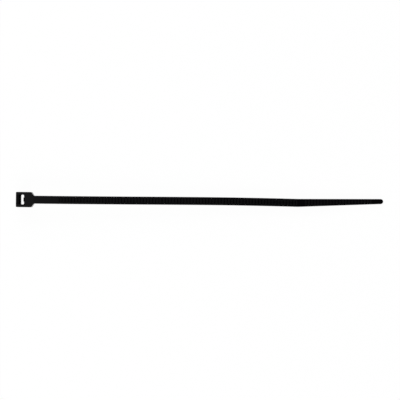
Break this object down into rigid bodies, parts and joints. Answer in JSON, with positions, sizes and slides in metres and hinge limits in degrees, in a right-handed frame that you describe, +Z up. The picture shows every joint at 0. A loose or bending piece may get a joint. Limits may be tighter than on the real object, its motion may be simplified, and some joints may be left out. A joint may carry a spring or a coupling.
{
  "type": "cable tie",
  "caption": "Slim self-locking strap tie with a toothed strap, a ribbed narrowing tail, and a head whose slot holds a moulded locking pawl.",
  "frame": {"origin": "on the resting surface, under the centre of the slot through the head", "axes": "+X along the strap from the head to the tail, +Z up out of the head's entry face, +Y across the strap"},
  "size_m": [0.118, 0.005, 0.0034],
  "materials": {
    "black_nylon": "satin moulded nylon"
  },
  "bodies": {
    "root": {"cable_tie": "black_nylon"}
  },
  "joints": []
}
